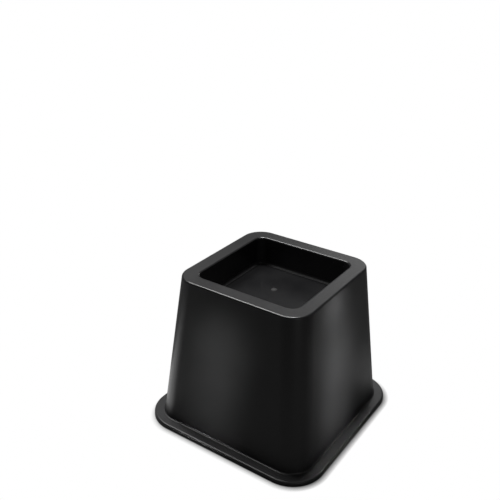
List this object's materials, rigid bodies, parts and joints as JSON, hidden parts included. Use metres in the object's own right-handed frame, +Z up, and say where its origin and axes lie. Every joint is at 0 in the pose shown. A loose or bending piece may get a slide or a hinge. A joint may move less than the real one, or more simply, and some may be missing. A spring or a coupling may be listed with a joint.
{
  "type": "bed riser",
  "caption": "Black moulded plastic bed riser: a hollow tapered square block on a flange, with a square socket in its top that takes a bed or furniture leg.",
  "frame": {"origin": "middle of the flange's underside, on the floor that the riser stands on", "axes": "+Z up, towards the rim and the socket's mouth; X and Y square to the sides"},
  "size_m": [0.162, 0.162, 0.133],
  "materials": {
    "black_plastic": "satin black moulded polypropylene with a fine grain"
  },
  "bodies": {
    "root": {"bed_riser": "black_plastic"}
  },
  "joints": []
}
